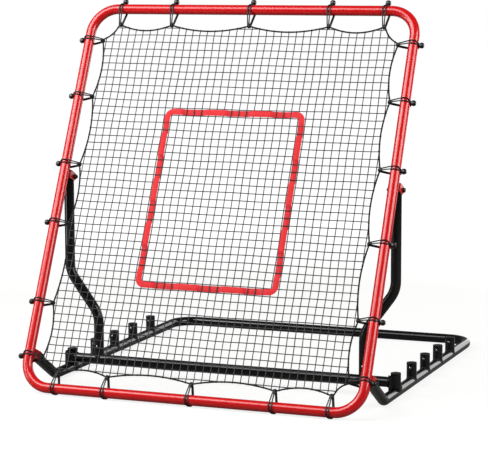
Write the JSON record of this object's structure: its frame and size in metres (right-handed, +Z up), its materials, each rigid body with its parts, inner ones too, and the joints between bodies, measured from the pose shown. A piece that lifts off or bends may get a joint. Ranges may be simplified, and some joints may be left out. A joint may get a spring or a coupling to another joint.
{
  "type": "pitching target net",
  "caption": "Leaning tube frame with a bungee-hung rebound net and strike zone, on a pegged ground base with a swinging prop.",
  "frame": {"origin": "on the ground at the middle of the whole outline", "axes": "+X across the frame to the right seen from the front, +Y from front to back, +Z up"},
  "size_m": [1.1754, 1.2683, 1.2031],
  "materials": {
    "red_enamel": "glossy baked enamel",
    "black_enamel": "glossy black enamel",
    "black_oxide": "black coated steel bolt",
    "zinc_steel": "zinc plated steel",
    "spring_steel": "bare spring steel",
    "cap_plastic": "moulded black plastic",
    "ball_plastic": "moulded black plastic",
    "net_cord": "knotted dark grey nylon cord",
    "edge_cord": "braided black rope",
    "bungee_cord": "braided black elastic",
    "strike_webbing": "woven red webbing"
  },
  "bodies": {
    "base": {"leg_left": "black_enamel", "leg_right": "black_enamel", "rail_left": "black_enamel", "rail_right": "black_enamel", "rear_corner_left": "black_enamel", "rear_corner_right": "black_enamel", "rear_bar": "black_enamel", "pegs_left": "black_enamel", "pegs_right": "black_enamel", "peg_caps": "cap_plastic", "peg_leaf_springs": "spring_steel", "rail_leaf_springs": "spring_steel"},
    "net_frame": {"corner_upper_left": "red_enamel", "corner_upper_right": "red_enamel", "corner_lower_left": "red_enamel", "corner_lower_right": "red_enamel", "top_tube": "red_enamel", "bottom_tube": "red_enamel", "ears_upper": "red_enamel", "ears_lower": "red_enamel", "pivot_bolts": "black_oxide", "pivot_nuts": "zinc_steel", "pivot_washers": "zinc_steel", "net_panel": "net_cord", "edge_rope": "edge_cord", "strike_tape": "strike_webbing", "bungees_top": "bungee_cord", "bungees_bottom": "bungee_cord", "bungees_left": "bungee_cord", "bungees_right": "bungee_cord", "bungee_balls": "ball_plastic"},
    "prop": {"arm_left": "black_enamel", "arm_right": "black_enamel", "cross_bar": "black_enamel", "hook_left": "black_enamel", "hook_right": "black_enamel", "arm_leaf_springs": "spring_steel"},
    "arm_button_left": {"arm_button_left": "zinc_steel"},
    "arm_button_right": {"arm_button_right": "zinc_steel"},
    "rail_button_left": {"rail_button_left": "black_oxide"},
    "rail_button_right": {"rail_button_right": "black_oxide"},
    "peg_button_left_1": {"peg_button_left_1": "zinc_steel"},
    "peg_button_left_2": {"peg_button_left_2": "zinc_steel"},
    "peg_button_left_3": {"peg_button_left_3": "zinc_steel"},
    "peg_button_left_4": {"peg_button_left_4": "zinc_steel"},
    "peg_button_left_5": {"peg_button_left_5": "zinc_steel"},
    "peg_button_right_1": {"peg_button_right_1": "zinc_steel"},
    "peg_button_right_2": {"peg_button_right_2": "zinc_steel"},
    "peg_button_right_3": {"peg_button_right_3": "zinc_steel"},
    "peg_button_right_4": {"peg_button_right_4": "zinc_steel"},
    "peg_button_right_5": {"peg_button_right_5": "zinc_steel"}
  },
  "joints": [
    {"name": "frame_tilt", "type": "hinge", "parent": "base", "child": "net_frame", "pos_m": [0, -0.53396, 0.10215], "axis": [1, 0, 0], "range_deg": [0, 25.5]},
    {"name": "prop_swing", "type": "hinge", "parent": "net_frame", "child": "prop", "pos_m": [0, -0.27737, 0.64009], "axis": [1, 0, 0], "range_deg": [-10, 0]},
    {"name": "arm_press_left", "type": "slide", "parent": "prop", "child": "arm_button_left", "axis": [0, 1, 0], "range_m": [0, 0.0026], "stiffness_N_per_m": 1500, "springref_m": -0.001},
    {"name": "arm_press_right", "type": "slide", "parent": "prop", "child": "arm_button_right", "axis": [0, 1, 0], "range_m": [0, 0.0026], "stiffness_N_per_m": 1500, "springref_m": -0.001},
    {"name": "rail_press_left", "type": "slide", "parent": "base", "child": "rail_button_left", "axis": [0, 0, -1], "range_m": [0, 0.0026], "stiffness_N_per_m": 1500, "springref_m": -0.001},
    {"name": "rail_press_right", "type": "slide", "parent": "base", "child": "rail_button_right", "axis": [0, 0, -1], "range_m": [0, 0.0026], "stiffness_N_per_m": 1500, "springref_m": -0.001},
    {"name": "peg_press_left_1", "type": "slide", "parent": "base", "child": "peg_button_left_1", "axis": [0, 1, 0], "range_m": [0, 0.0026], "stiffness_N_per_m": 1500, "springref_m": -0.001},
    {"name": "peg_press_left_2", "type": "slide", "parent": "base", "child": "peg_button_left_2", "axis": [0, 1, 0], "range_m": [0, 0.0026], "stiffness_N_per_m": 1500, "springref_m": -0.001},
    {"name": "peg_press_left_3", "type": "slide", "parent": "base", "child": "peg_button_left_3", "axis": [0, 1, 0], "range_m": [0, 0.0026], "stiffness_N_per_m": 1500, "springref_m": -0.001},
    {"name": "peg_press_left_4", "type": "slide", "parent": "base", "child": "peg_button_left_4", "axis": [0, 1, 0], "range_m": [0, 0.0026], "stiffness_N_per_m": 1500, "springref_m": -0.001},
    {"name": "peg_press_left_5", "type": "slide", "parent": "base", "child": "peg_button_left_5", "axis": [0, 1, 0], "range_m": [0, 0.0026], "stiffness_N_per_m": 1500, "springref_m": -0.001},
    {"name": "peg_press_right_1", "type": "slide", "parent": "base", "child": "peg_button_right_1", "axis": [0, 1, 0], "range_m": [0, 0.0026], "stiffness_N_per_m": 1500, "springref_m": -0.001},
    {"name": "peg_press_right_2", "type": "slide", "parent": "base", "child": "peg_button_right_2", "axis": [0, 1, 0], "range_m": [0, 0.0026], "stiffness_N_per_m": 1500, "springref_m": -0.001},
    {"name": "peg_press_right_3", "type": "slide", "parent": "base", "child": "peg_button_right_3", "axis": [0, 1, 0], "range_m": [0, 0.0026], "stiffness_N_per_m": 1500, "springref_m": -0.001},
    {"name": "peg_press_right_4", "type": "slide", "parent": "base", "child": "peg_button_right_4", "axis": [0, 1, 0], "range_m": [0, 0.0026], "stiffness_N_per_m": 1500, "springref_m": -0.001},
    {"name": "peg_press_right_5", "type": "slide", "parent": "base", "child": "peg_button_right_5", "axis": [0, 1, 0], "range_m": [0, 0.0026], "stiffness_N_per_m": 1500, "springref_m": -0.001}
  ]
}
